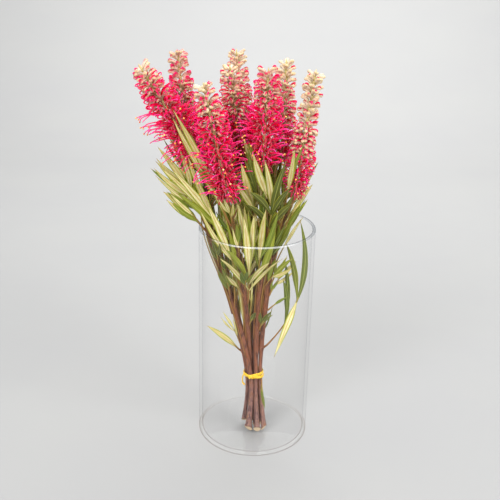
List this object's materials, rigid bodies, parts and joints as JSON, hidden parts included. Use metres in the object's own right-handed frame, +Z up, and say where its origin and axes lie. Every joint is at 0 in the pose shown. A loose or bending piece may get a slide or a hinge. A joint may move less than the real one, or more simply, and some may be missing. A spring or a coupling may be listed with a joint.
{
  "type": "red grevillea bunch in a glass vase",
  "caption": "Tied bunch of red grevillea flower spikes with narrow divided leaves, standing in a tall straight clear glass cylinder vase.",
  "frame": {"origin": "centre of the vase's flat underside, on the surface it stands on", "axes": "+Z up through the vase, -Y towards the viewer, and the bunch leans towards -X"},
  "size_m": [0.2275, 0.157, 0.5185],
  "materials": {
    "glass": "clear, polished",
    "tape": "soft yellow tape",
    "bark": "smooth young bark, reddish brown",
    "floret": "waxy crimson styles on pink florets",
    "bud": "downy cream buds",
    "leaf": "green above, silvery cream below"
  },
  "bodies": {
    "root": {"bloom_a": "floret", "bloom_b": "floret", "bloom_c": "floret", "bloom_d": "floret", "bloom_e": "floret", "bloom_f": "floret", "bloom_g": "floret", "bloom_h": "floret", "bud_tip_a": "bud", "bud_tip_b": "bud", "bud_tip_c": "bud", "bud_tip_d": "bud", "bud_tip_e": "bud", "bud_tip_f": "bud", "bud_tip_g": "bud", "bud_tip_h": "bud", "leaf_01": "leaf", "leaf_02": "leaf", "leaf_03": "leaf", "leaf_04": "leaf", "leaf_05": "leaf", "leaf_06": "leaf", "leaf_07": "leaf", "leaf_08": "leaf", "leaf_09": "leaf", "leaf_10": "leaf", "leaf_11": "leaf", "leaf_12": "leaf", "leaf_13": "leaf", "leaf_14": "leaf", "leaf_15": "leaf", "leaf_16": "leaf", "leaf_17": "leaf", "leaf_18": "leaf", "leaf_19": "leaf", "leaf_20": "leaf", "leaf_21": "leaf", "leaf_22": "leaf", "leaf_23": "leaf", "leaf_24": "leaf", "leaf_25": "leaf", "leaf_26": "leaf", "leaf_27": "leaf", "leaf_28": "leaf", "leaf_29": "leaf", "leaf_30": "leaf", "leaf_31": "leaf", "leaf_32": "leaf", "stem_a": "bark", "stem_b": "bark", "stem_c": "bark", "stem_d": "bark", "stem_e": "bark", "stem_f": "bark", "stem_g": "bark", "stem_h": "bark", "tie": "tape", "vase": "glass"}
  },
  "joints": []
}
